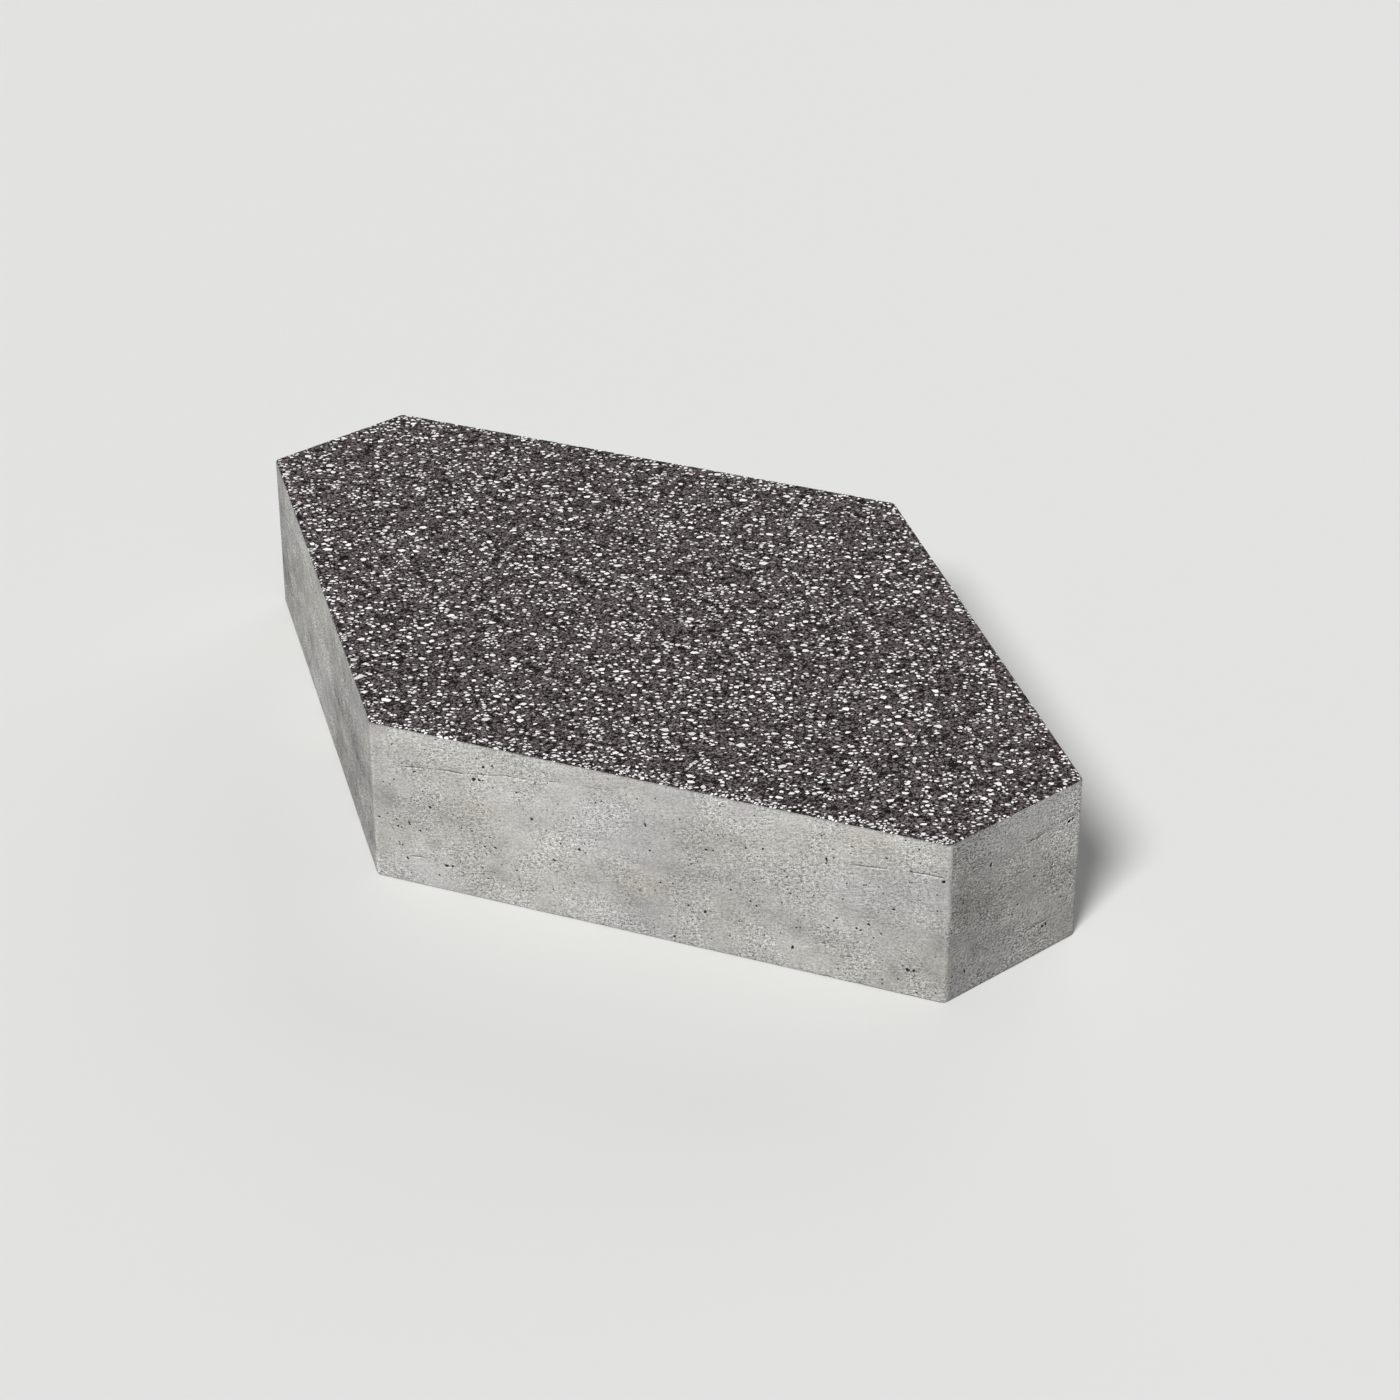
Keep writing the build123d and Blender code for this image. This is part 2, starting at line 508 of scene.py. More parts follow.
class Outline:
    """The block's plan: an inner hexagon, through the centres of its rounded corners, and the rounding round
    it. A distance s runs round the rim, anticlockwise seen from above, from the start of the left end face.
    Side k is a straight stretch followed by the arc of the corner after it."""

    def __init__(self, sizes):
        self.radius = sizes.corner_radius
        half_length, half_end = BLOCK_HIGH.x, sizes.end_side / 2
        # Rounding cuts the points of the flanks back, so the sharp points lie a little outside the box.
        point = BLOCK_HIGH.y
        for _ in range(POINT_ROUNDS):
            slope = math.atan2(point - half_end, half_length)
            point = BLOCK_HIGH.y + self.radius * (1 / math.cos(slope) - 1)
        sharp = np.array(
            [
                (-half_length, half_end),
                (-half_length, -half_end),
                (0, -point),
                (half_length, -half_end),
                (half_length, half_end),
                (0, point),
            ]
        )
        along = np.roll(sharp, -1, 0) - sharp
        self.along = along / np.linalg.norm(along, axis=1, keepdims=True)
        self.normal = np.stack([self.along[:, 1], -self.along[:, 0]], 1)
        before = np.roll(self.normal, 1, 0)
        facing = (before * self.normal).sum(1, keepdims=True)
        self.corner = sharp - self.radius * (before + self.normal) / (1 + facing)
        ahead = np.roll(self.corner, -1, 0) - self.corner
        self.straight = np.linalg.norm(ahead, axis=1)
        after = np.roll(self.normal, -1, 0)
        self.turn = np.arccos(np.clip((self.normal * after).sum(1), -1, 1))
        self.angle = np.arctan2(self.normal[:, 1], self.normal[:, 0])
        lengths = self.straight + self.radius * self.turn
        self.start = np.concatenate([[0], np.cumsum(lengths)])
        self.round = self.start[-1]
        self.trim = self.radius * np.tan(np.roll(self.turn, 1) / 2)

    def side(self, s):
        """The side on which each distance s lies."""
        found = np.searchsorted(self.start, np.mod(s, self.round), side="right") - 1
        return np.clip(found, 0, SIDES - 1)

    def left_corner(self, side):
        """The distance s of a wall's left corner, where its sharp edge would stand."""
        return self.start[side] - self.trim[side]

    def at(self, s):
        """Inner point and outward normal at the distance s: the point slides along the side while the normal
        stands still, and then waits in the corner while the normal turns by (s past the side) / radius."""
        s = np.mod(s, self.round)
        k = self.side(s)
        local = s - self.start[k]
        slid = np.clip(local, 0, self.straight[k])
        turned = np.clip((local - self.straight[k]) / self.radius, 0, self.turn[k])
        point = self.corner[k] + self.along[k] * slid[..., None]
        angle = self.angle[k] + turned
        return point, np.stack([np.cos(angle), np.sin(angle)], -1)

    def nearest(self, xy):
        """For points of the plan: nearest point of the inner hexagon, unit vector away from it and distance,
        which is 0 inside. On each side the foot of the perpendicular is held between the side's two ends."""
        best = np.full(xy.shape[:-1], np.inf)
        foot = np.zeros_like(xy)
        inside = np.ones(xy.shape[:-1], bool)
        for k in range(SIDES):
            run = np.clip((xy - self.corner[k]) @ self.along[k], 0, self.straight[k])
            here = self.corner[k] + run[..., None] * self.along[k]
            gap = np.linalg.norm(xy - here, axis=-1)
            closer = gap < best
            best = np.where(closer, gap, best)
            foot = np.where(closer[..., None], here, foot)
            inside &= (xy - self.corner[k]) @ self.normal[k] <= 0
        away = (xy - foot) / np.maximum(best, TINY)[..., None]
        foot = np.where(inside[..., None], xy, foot)
        return foot, np.where(inside[..., None], 0.0, away), np.where(inside, 0.0, best)


class Section:
    """The block's upright section, from the flat of the wearing face over its arris, down the wall and round
    the base arris to the underside. A distance t runs down it."""

    def __init__(self, sizes):
        self.corner = sizes.corner_radius
        self.top = sizes.face_arris
        self.base = sizes.base_arris
        self.height = BLOCK_HIGH.z
        self.over_top = self.top * math.pi / 2
        self.wall = self.height - self.top - self.base
        self.length = self.over_top + self.wall + self.base * math.pi / 2

    def at(self, t):
        """Distance out from the inner hexagon, height, and the outward normal's two parts at the distance t.
        Over the face arris the normal turns down by t / radius, and round the base arris by (t past the
        wall) / radius."""
        over = np.clip(t / self.top, 0, math.pi / 2)
        down = np.clip(t - self.over_top, 0, self.wall)
        under = np.clip((t - self.over_top - self.wall) / self.base, 0, math.pi / 2)
        out = self.corner - self.top + self.top * np.sin(over) - self.base * (1 - np.cos(under))
        height = self.height - self.top + self.top * np.cos(over) - down - self.base * np.sin(under)
        return out, height, np.sin(over) * np.cos(under), np.cos(over) - np.sin(under)

    def t_at(self, height):
        """The distance t of a height on the wall."""
        return self.over_top + self.height - self.top - height


def on_block(outline, section, s, t, inward):
    """Points of the block's skin at (s, t), sunk by inward along the normal: inner point + normal x (distance
    out - inward x its outward part), at height - inward x its upward part."""
    point, normal = outline.at(s)
    out, height, flat_part, up_part = section.at(t)
    reach = (out - inward * flat_part)[..., None]
    return np.concatenate([point + normal * reach, (height - inward * up_part)[..., None]], -1)


def build_mesh(name, points, corners, counts, smooth, slots=None, maps=None, values=None):
    """A mesh object from whole arrays: points (n, 3), the point of every face corner, and each face's corner
    count. slots gives each face's material number, maps each UV map per corner, and values each number per
    point."""
    mesh = bpy.data.meshes.new(name)
    mesh.vertices.add(len(points))
    mesh.vertices.foreach_set("co", np.ascontiguousarray(points, np.float32).ravel())
    mesh.loops.add(len(corners))
    mesh.loops.foreach_set("vertex_index", np.ascontiguousarray(corners, np.int32))
    mesh.polygons.add(len(counts))
    starts = np.concatenate([[0], np.cumsum(counts)[:-1]]).astype(np.int32)
    mesh.polygons.foreach_set("loop_start", starts)
    mesh.polygons.foreach_set("use_smooth", np.broadcast_to(smooth, len(counts)).astype(bool))
    if slots is not None:
        mesh.polygons.foreach_set("material_index", np.ascontiguousarray(slots, np.int32))
    for map_name, places in (maps or {}).items():
        layer = mesh.uv_layers.new(name=map_name)
        layer.uv.foreach_set("vector", np.ascontiguousarray(places, np.float32).ravel())
    for value_name, numbers in (values or {}).items():
        attribute = mesh.attributes.new(value_name, "FLOAT", "POINT")
        attribute.data.foreach_set("value", np.ascontiguousarray(numbers, np.float32).ravel())
    mesh.update(calc_edges=True)
    piece = bpy.data.objects.new(name, mesh)
    bpy.context.scene.collection.objects.link(piece)
    return piece


def all_holes(outline, section, sizes):
    """Air holes as rows of (s, t, half width, half height, tilt, two lobe angles): the placed ones and then
    random ones on every wall, most of them small and a few large."""
    rng = np.random.default_rng(sizes.seed)
    rows = []
    for side in range(SIDES):
        long = outline.straight[side]
        for u, z, wide, high in PLACED_HOLES.get(side, ()):
            s = outline.start[side] + u * MM - outline.trim[side]
            rows.append((s, section.t_at(z * MM), wide * MM, high * MM))
        share = FILLER_SHARE if side in PLACED_HOLES else 1.0
        count = int(share * sizes.hole_spread * long * section.wall / COUNT_AREA)
        s = outline.start[side] + rng.uniform(HOLE_MARGIN, long - HOLE_MARGIN, count)
        t = section.over_top + rng.uniform(HOLE_MARGIN, section.wall - HOLE_MARGIN, count)
        wide = np.minimum(HOLE_SMALLEST + rng.exponential(HOLE_SPREAD, count), HOLE_LARGEST)
        high = wide * rng.uniform(*HOLE_HEIGHTS, count)
        if side in PLACED_HOLES:
            wide, high = (np.minimum(size, most) for size, most in zip((wide, high), FILLER_LARGEST))
        rows.extend(zip(s, t, wide, high))
    rows = np.array(rows)
    circle = 2 * math.pi
    turns = rng.uniform([-HOLE_TILT, 0, 0], [HOLE_TILT, circle, circle], (len(rows), 3))
    return np.concatenate([rows, turns], 1)


def hole_radius(s, t, hole):
    """Distance from a hole's middle in parts of its rim: the tilted ellipse sqrt((x/a)^2 + (y/b)^2), divided
    by a rim that swells and shrinks twice and three times round."""
    a, b, tilt, lobe_two, lobe_three = hole[2:]
    ds, dt = s - hole[0], t - hole[1]
    x = (ds * math.cos(tilt) + dt * math.sin(tilt)) / a
    y = (dt * math.cos(tilt) - ds * math.sin(tilt)) / b
    around = np.arctan2(y, x)
    two, three = HOLE_LOBES
    rim = 1 + two * np.cos(2 * around + lobe_two) + three * np.cos(3 * around + lobe_three)
    return np.hypot(x, y) / rim


def mark_lines(outline, section):
    """Form marks as (s from, s to, t from, t to, how plain)."""
    lines = []
    for side, marks in FORM_MARKS.items():
        base = outline.left_corner(side)
        for u0, z0, u1, z1, plain in marks:
            t0, t1 = section.t_at(z0 * MM), section.t_at(z1 * MM)
            lines.append((base + u0 * MM, base + u1 * MM, t0, t1, plain))
    return lines


def mark_distance(s, t, line, number):
    """How far points lie below a mark, and the mark's strength there, 0 to 1. The mark bows by a small share
    of its length and wanders a little. Its strength fades at both ends and away from it, and breaks up along
    it."""
    s0, s1, t0, t1, plain = line
    run = (s - s0) / (s1 - s0)
    bow = (s1 - s0) / MARK_BOW * np.sin(math.pi * np.clip(run, 0, 1))
    wander = MARK_WANDER * soft_noise(s[..., None], "wander", number)
    over = t - (t0 + (t1 - t0) * run - bow + wander)
    fade = smooth_step(s, s0, s0 + MARK_FADE) * (1 - smooth_step(s, s1 - MARK_FADE, s1))
    middle, swing = MARK_BROKEN
    broken = np.clip(middle + swing * soft_noise(s[..., None], "broken", number), MARK_WEAKEST, 1)
    inner, outer = (share * MARK_REACH for share in MARK_NEAR)
    near = 1 - smooth_step(np.abs(over), inner, outer)
    return np.clip(over, -MARK_REACH, MARK_REACH), plain * fade * broken * near


def washed_and_lit(outline, section, s, t):
    """How light the cement is at each point of the skin, about 1, how blotchy and how grainy. A wash adds its
    share times exp(-(x / reach along)^2 - (y / reach up)^2)."""
    side = outline.side(s)
    height = section.at(t)[1]
    skin = on_block(outline, section, s, t, np.zeros_like(s))
    swing = np.where(np.isin(side, list(WASHES_AND_PAINTED_LIGHT)), SHADE_PLACED, SHADE_ELSEWHERE)
    light = 1 + PALE_BAND * (smooth_step(height, *PALE_RISE) - BAND_MIDDLE)
    light += swing * soft_noise(skin, "shade")
    for number, washes in WASHES_AND_PAINTED_LIGHT.items():
        for u, z, along, up, share in washes:
            x = (s - outline.left_corner(number)) / MM - u
            light += share * np.exp(-((x / along) ** 2) - ((height / MM - z) / up) ** 2)
    blotchy, grainy = (
        np.array([kind.get(k, ELSEWHERE) for k in range(SIDES)])[side] for kind in (BLOTCHY, GRAINY)
    )
    return {"light": light, "blotchy": blotchy, "grainy": grainy}


def wall_relief(outline, section, sizes, s, t, holes, lines):
    """How far each point of the skin is sunk, and what the wall's material needs to know of it.

    It adds slow waves, a bowl in each hole with depth x (1 - step over the rim), a shallow groove along each
    mark, small bites out of the arrises, and the recess of the dark mix between the face's crumbs. The
    material gets how deep in a hole a point lies (a half at the rim), how far it lies below the nearest mark,
    that mark's strength, how far it is on a worn corner or base arris, and how light, blotchy and grainy the
    cement is there.
    """
    skin = on_block(outline, section, s, t, np.zeros_like(s))
    waves = soft_noise(skin, "swell") + RIPPLE_SHARE * soft_noise(skin, "ripple")
    sunk = sizes.waviness * (1 + WAVE_SHARE * waves)
    hollow = np.zeros_like(s)
    for hole in holes:
        mean = math.sqrt(hole[2] * hole[3])
        near = (np.abs(s - hole[0]) < 3 * hole[2]) & (np.abs(t - hole[1]) < 3 * hole[3])
        radius = hole_radius(s[near], t[near], hole)
        depth = min(HOLE_DEPTH * mean, HOLE_DEEPEST) + HOLE_EXTRA
        sunk[near] += depth * (1 - smooth_step(radius, *HOLE_BOWL))
        hollow[near] = np.maximum(hollow[near], 1 - radius / 2)
    over_mark = np.full_like(s, MARK_REACH)
    mark = np.zeros_like(s)
    for number, line in enumerate(lines):
        over, strength = mark_distance(s, t, line, number)
        nearer = (strength > 0) & (np.abs(over) < np.abs(over_mark))
        over_mark = np.where(nearer, over, over_mark)
        mark = np.where(nearer, strength, mark)
        sunk += strength * sizes.mark_depth * np.exp(-((over / MARK_GROOVE) ** 2))
    # Bites where the arrises are worn: only the peaks of a noise, strongest in the middle of the rounding.
    k = outline.side(s)
    past_side = np.mod(s, outline.round) - outline.start[k] - outline.straight[k]
    past = past_side / (outline.radius * outline.turn[k])
    on_corner = np.where(past > 0, 4 * past * (1 - past), 0)
    past_wall = (t - section.over_top - section.wall) / (section.length - section.over_top - section.wall)
    past_wall = np.clip(past_wall, 0, 1)
    on_base = 4 * past_wall * (1 - past_wall)
    worn = np.maximum(on_corner, on_base)
    sunk += BITE_DEPTH * smooth_step(soft_noise(skin, "bites"), *BITE_EDGE) * worn
    sunk = np.maximum(sunk, 0)
    # The dark mix lies below the crumbs and steps up to the cement at its edge on the arris.
    wrap = sizes.facing_wrap * section.over_top
    facing = 1 - smooth_step(t, wrap - LIP, wrap)
    sunk = sunk * (1 - facing) + sizes.facing_recess * facing
    # The underside is flat, so the relief dies out before it.
    sunk *= 1 - smooth_step(t, section.length - FLAT_FADE, section.length)
    values = {"hollow": hollow, "over_mark": over_mark, "mark": mark, "worn": worn}
    return sunk, values | washed_and_lit(outline, section, s, t)


def refine(fine):
    """Cuts the marked cells of a closed band of cells, fine (rows, columns), into CUTS x CUTS small ones.

    Returns the points' places (n, 2) in cuts along rows and columns, the faces' corners as places that don't
    wrap round the seam, the point of every corner and each face's corner count. A whole cell beside a cut one
    gets the cut one's points in the edge that they share, so the band has no open joins.
    """
    rows, columns = fine.shape
    places, counts = [], []
    # Cut cells: each gives CUTS x CUTS squares.
    r, c = np.nonzero(fine)
    a, b = np.mgrid[:CUTS, :CUTS].reshape(2, -1)
    square = np.array([(1, 0), (1, 1), (0, 1), (0, 0)])
    small = np.stack([r[:, None] * CUTS + a, c[:, None] * CUTS + b], -1)
    places.append((small[:, :, None] + square).reshape(-1, 2))
    counts.append(np.full(small.shape[0] * small.shape[1], 4))
    # Whole cells, in 16 kinds by which of their edges (below, right, above, left) they share with a cut cell.
    below = np.roll(fine, -1, 0)
    above = np.roll(fine, 1, 0)
    right = np.roll(fine, -1, 1)
    left = np.roll(fine, 1, 1)
    kind = below * 1 + right * 2 + above * 4 + left * 8
    starts = ((CUTS, 0), (CUTS, CUTS), (0, CUTS), (0, 0))
    steps = ((0, 1), (-1, 0), (0, -1), (1, 0))
    for number in range(16):
        r, c = np.nonzero(~fine & (kind == number))
        path = []
        for edge in range(4):
            cuts = CUTS if number >> edge & 1 else 1
            path.extend(np.array(starts[edge]) + i * np.array(steps[edge]) for i in range(cuts))
        whole = np.stack([r, c], -1)[:, None] * CUTS + np.array(path)
        places.append(whole.reshape(-1, 2))
        counts.append(np.full(len(r), len(path)))
    places = np.concatenate(places)
    around = columns * CUTS
    number = places[:, 0] * around + places[:, 1] % around
    used, corners = np.unique(number, return_inverse=True)
    points = np.stack([used // around, used % around], -1)
    return points, places, corners, np.concatenate(counts)


def strip_places(outline, section, side, s, t):
    """Places on the bake map, in metres: the long walls' strips in four rows, the end walls' beside two."""
    row = section.length + BAKE_GAP
    long = outline.start[RIGHT_FRONT] - outline.start[LEFT_FRONT]
    strip = {LEFT_FRONT: (0, 0), RIGHT_FRONT: (0, 1), RIGHT_BACK: (0, 2), LEFT_BACK: (0, 3)}
    strip.update({LEFT_END: (1, 0), RIGHT_END: (1, 1)})
    column, line = np.array([strip[k] for k in range(SIDES)], float)[side].T
    across = BAKE_GAP + column * (long + BAKE_GAP) + s - outline.start[side]
    return np.stack([across, BAKE_GAP + line * row + t], -1)


def flat_places(outline, section, plan, number):
    """Places of the two flat faces on the bake map, drawn small above the end walls' strips."""
    row = section.length + BAKE_GAP
    long = outline.start[RIGHT_FRONT] - outline.start[LEFT_FRONT]
    half = np.array([BLOCK_HIGH.x, BLOCK_HIGH.y]) * FLAT_SHRINK
    corner = np.array([long + 2 * BAKE_GAP, 2 * row + BAKE_GAP + number * (2 * half[1] + BAKE_GAP)])
    return plan * FLAT_SHRINK + half + corner


def block_mesh(sizes):
    """The block's closed skin: the section carried round the outline as a band of cells in (t, s), cut finer
    at the air holes and marks, sunk by the relief, and closed by one flat face above and one below."""
    outline, section = Outline(sizes), Section(sizes)
    stations = []
    for k in range(SIDES):
        along = max(2, round(outline.straight[k] / sizes.wall_step))
        bent = outline.start[k] + outline.straight[k]
        stations.append(outline.start[k] + outline.straight[k] * np.arange(along) / along)
        stations.append(bent + outline.radius * outline.turn[k] * np.arange(ARC_CELLS) / ARC_CELLS)
    s_line = np.concatenate([*stations, [outline.round]])
    wall_rows = round(section.wall / sizes.wall_step)
    under = section.over_top + section.wall
    wrap = sizes.facing_wrap * section.over_top
    t_line = np.concatenate(
        [
            (wrap - LIP) * np.arange(ARC_CELLS) / (ARC_CELLS - 1),
            wrap + (section.over_top - wrap) * np.arange(ARC_CELLS - 1) / (ARC_CELLS - 1),
            section.over_top + section.wall * np.arange(wall_rows) / wall_rows,
            under + (section.length - under) * np.arange(ARC_CELLS) / (ARC_CELLS - 1),
        ]
    )
    rows, columns = len(t_line) - 1, len(s_line) - 1

    middles = ((line[1:] + line[:-1]) / 2 for line in (t_line, s_line))
    t_mid, s_mid = np.meshgrid(*middles, indexing="ij")
    holes = all_holes(outline, section, sizes)
    lines = mark_lines(outline, section)
    half_cell = CELL_CUT * sizes.wall_step
    fine = np.zeros((rows, columns), bool)
    for hole in holes:
        wide, high = HOLE_CUT * hole[2] + half_cell, HOLE_CUT * hole[3] + half_cell
        fine |= ((s_mid - hole[0]) / wide) ** 2 + ((t_mid - hole[1]) / high) ** 2 < 1
    for number, line in enumerate(lines):
        over, strength = mark_distance(s_mid, t_mid, line, number)
        fine |= (np.abs(over) < MARK_CUT + half_cell) & (strength > 0)
    fine[[0, -1]] = False

    grid, places, corners, counts = refine(fine)
    t = np.interp(grid[:, 0] / CUTS, np.arange(rows + 1), t_line)
    s = np.interp(grid[:, 1] / CUTS, np.arange(columns + 1), s_line)
    sunk, values = wall_relief(outline, section, sizes, s, t, holes, lines)
    points = on_block(outline, section, s, t, sunk)
    top = np.nonzero(grid[:, 0] == 0)[0]
    bottom = np.nonzero(grid[:, 0] == rows * CUTS)[0][::-1]

    t_corner = np.interp(places[:, 0] / CUTS, np.arange(rows + 1), t_line)
    s_corner = np.interp(places[:, 1] / CUTS, np.arange(columns + 1), s_line)
    # A face belongs to the side where it starts, so its corners all stay in one strip of the bake map.
    first = np.minimum.reduceat(s_corner, np.concatenate([[0], np.cumsum(counts)[:-1]]))
    side = np.repeat(outline.side(first + SLACK), counts)
    plans = [points[face, :2] for face in (top, bottom)]
    flats = [flat_places(outline, section, plan, number) for number, plan in enumerate(plans)]
    bake = np.concatenate([strip_places(outline, section, side, s_corner, t_corner), *flats])
    wall_map = np.stack([np.where(np.isin(side, FALLING), -s_corner, s_corner), t_corner], -1)
    maps = {
        WALL_MAP: np.concatenate([wall_map, *plans]),
        BAKE_MAP: bake / (bake.max() + BAKE_GAP),
    }
    slots = np.concatenate([np.zeros(len(counts)), [1, 2]])
    smooth = np.concatenate([np.ones(len(counts), bool), [False, False]])
    corners = np.concatenate([corners, top, bottom])
    counts = np.concatenate([counts, [len(top), len(bottom)]])
    return build_mesh("paver_block", points, corners, counts, smooth, slots, maps, values)


class Shade:
    """The output of a shader node, so that a line such as 1 - mask * 0.4 adds the Math nodes it needs."""

    def __init__(self, book, socket):
        self.book = book
        self.socket = socket

    def maths(self, operation, first, second=None):
        values = {0: first} if second is None else {0: first, 1: second}
        return self.book.add("ShaderNodeMath", "Value", {"operation": operation}, values)

    def __add__(self, other):
        return self.maths("ADD", self, other)

    def __sub__(self, other):
        return self.maths("SUBTRACT", self, other)

    def __rsub__(self, other):
        return self.maths("SUBTRACT", other, self)

    def __mul__(self, other):
        return self.maths("MULTIPLY", self, other)

    def __truediv__(self, other):
        return self.maths("DIVIDE", self, other)

    def __abs__(self):
        return self.maths("ABSOLUTE", self)

    __radd__ = __add__
    __rmul__ = __mul__

    def held(self):
        """The value kept between 0 and 1."""
        return self.book.add("ShaderNodeClamp", "Result", {}, {"Value": self})

    def rise(self, name):
        """0 and then 1, with a smooth rise between the two limits that RISE gives for its name."""
        low, high = RISE[name]
        values = {"Value": self, "From Min": low, "From Max": high}
        return self.book.add("ShaderNodeMapRange", "Result", {"interpolation_type": "SMOOTHSTEP"}, values)


class ShadeBook:
    """A material's nodes. Every node comes from add, which takes its type, the socket to give back, its
    settings and the values or links of its sockets."""

    def __init__(self, name):
        self.material = bpy.data.materials.new(name)
        self.material.use_nodes = True
        self.tree = self.material.node_tree
        self.tree.nodes.clear()

    def add(self, kind, output, settings=None, values=None):
        node = self.tree.nodes.new(kind)
        for key, value in (settings or {}).items():
            setattr(node, key, value)
        for key, value in (values or {}).items():
            socket = node.inputs[key]
            if isinstance(value, Shade):
                self.tree.links.new(value.socket, socket)
            else:
                socket.default_value = value
        return Shade(self, node.outputs[output]) if output else node

    def place(self):
        """Object coordinates, in metres in the block's frame."""
        return self.add("ShaderNodeTexCoord", "Object")

    def on_map(self, name):
        return self.add("ShaderNodeUVMap", "UV", {"uv_map": name})

    def number(self, name):
        """A number that the mesh holds for each point."""
        return self.add("ShaderNodeAttribute", "Fac", {"attribute_name": name})

    def stretched(self, vector, factors):
        values = {0: vector, 1: (*factors, 1.0)}
        return self.add("ShaderNodeVectorMath", "Vector", {"operation": "MULTIPLY"}, values)

    def shifted(self, vector, shift):
        values = {0: vector, 1: (*shift, 0)}
        return self.add("ShaderNodeVectorMath", "Vector", {"operation": "ADD"}, values)

    def turned(self, vector, angle):
        settings, values = {"rotation_type": "Z_AXIS"}, {"Vector": vector, "Angle": angle}
        return self.add("ShaderNodeVectorRotate", "Vector", settings, values)

    def noise(self, vector, name):
        """Noise from 0 to 1, with the grain that SHADE_NOISES gives for its name."""
        grain, *rest = SHADE_NOISES[name]
        detail, rough, twist = (*rest, *USUAL_NOISE[len(rest):])
        values = {"Vector": vector, "Scale": 1 / grain, "Detail": detail}
        values |= {"Roughness": rough, "Distortion": twist}
        return self.add("ShaderNodeTexNoise", "Fac", {}, values)

    def swing(self, vector, name):
        """Noise about 0, as wide as SWING says for its name."""
        return (self.noise(vector, name) - 0.5) * SWING[name]

    def cells(self, vector, size, output="Distance"):
        return self.add("ShaderNodeTexVoronoi", output, {}, {"Vector": vector, "Scale": 1 / size})

    def mix(self, amount, first, second):
        """Colour first where amount is 0 and second where it is 1. A mix node's colours are its sockets 6
        and 7."""
        first, second = (side if isinstance(side, Shade) else (*side, 1.0) for side in (first, second))
        return self.add("ShaderNodeMix", 2, {"data_type": "RGBA"}, {0: amount, 6: first, 7: second})

    def lit(self, colour, amount):
        """A colour made lighter or darker: each of its parts times amount."""
        values = {0: colour, "Scale": amount}
        return self.add("ShaderNodeVectorMath", "Vector", {"operation": "SCALE"}, values)

    def bump(self, height, distance, strength):
        values = {"Height": height, "Distance": distance, "Strength": strength}
        return self.add("ShaderNodeBump", "Normal", {}, values)

    def finish(self, colour, roughness, normal=None, shine=PLAIN_SHINE):
        values = {"Base Color": colour, "Roughness": roughness, "Specular IOR Level": shine}
        if normal is not None:
            values["Normal"] = normal
        surface = self.add("ShaderNodeBsdfPrincipled", "BSDF", {}, values)
        self.add("ShaderNodeOutputMaterial", None, {}, {"Surface": surface})
        return self.material


def cement_shades(book, colours, vector, light, blotchy, grainy):
    """Colour and height of bare cement: broad clouds with patches in them, a few soft dark spots, faint warm
    stains, a slanted sandy speckle that is livelier in places, short strokes among it, and pinholes that keep
    together, painted near black as their shade. vector runs in metres, along and up the wall. light, blotchy
    and grainy are shares, as numbers or as shades."""
    broad = book.stretched(vector, BROAD)
    sandy = book.stretched(book.turned(vector, GRAIN_SLANT), SANDY)
    clouds = book.noise(broad, "clouds")
    stains = book.noise(book.shifted(broad, STAIN_SHIFT), "stains")
    least, swing = LIVELY
    lively = least + book.noise(vector, "lively").rise("lively") * swing
    speckle = book.noise(sandy, "speckle")
    sand = book.noise(sandy, "sand")
    strokes = book.noise(book.stretched(sandy, STROKE), "strokes")
    # The grain's lit and shaded flanks: a fine noise less the same noise a little further on.
    flanks = book.noise(sandy, "flanks") - book.noise(book.shifted(sandy, FLANK_SHIFT), "flanks")
    colour = book.mix(clouds.rise("clouds") * STRENGTH["clouds"], colours.cement, colours.cement_cool)
    colour = book.mix(stains.rise("stains") * STRENGTH["stains"], colour, colours.cement_warm)
    spots = 1 - book.cells(vector, SPOT_SPACING).rise("spots")
    slow = (clouds - 0.5) * SWING["clouds"] + book.swing(broad, "patches")
    slow = (slow + book.swing(vector, "blotches") * blotchy) * blotchy + light
    quick = (speckle - 0.5) * SWING["speckle"] + (sand - 0.5) * SWING["sand"]
    quick = 1 + (quick + (strokes - 0.5) * SWING["strokes"]) * lively * (grainy * 0.5 + 0.5)
    quick = quick + flanks * (grainy - 1) * SWING["flanks"]
    colour = book.lit(colour, (slow - spots * STRENGTH["spots"]) * quick)
    # Pinholes: a dip in the bump, painted near black as their shade.
    pins = 1 - book.cells(vector, PIN_SPACING).rise("pins")
    pin = pins * book.noise(vector, "pin groups").rise("pin groups")
    colour = book.mix(pin * (PIN_LIMIT - grainy) * STRENGTH["pins"], colour, colours.hole)
    height = speckle * RAISED["speckle"] + sand * RAISED["sand"] + strokes * RAISED["strokes"]
    return colour, height - pin * PIN_DEPTH


def facing_shades(book, colours, vector):
    """Colour and height of the dark mix between the crumbs: fine sand, where each cell of a pattern is a
    grain with a shade of its own, and dark paste round the grains. Its darkness is partly the paste's own
    colour and partly painted shade between the crumbs."""
    lot = book.cells(vector, SAND_SPACING, "Color") * 1.0  # a cell's colour as one number
    grain = 1 - book.cells(vector, SAND_SPACING).rise("sand grain")
    sand = book.mix(lot.rise("sand shade"), colours.black_high, colours.brown_high)
    sand = book.mix(lot.rise("pale sand") * STRENGTH["pale sand"], sand, colours.pale_low)
    return book.mix(grain * STRENGTH["sand grain"], colours.facing, sand), grain


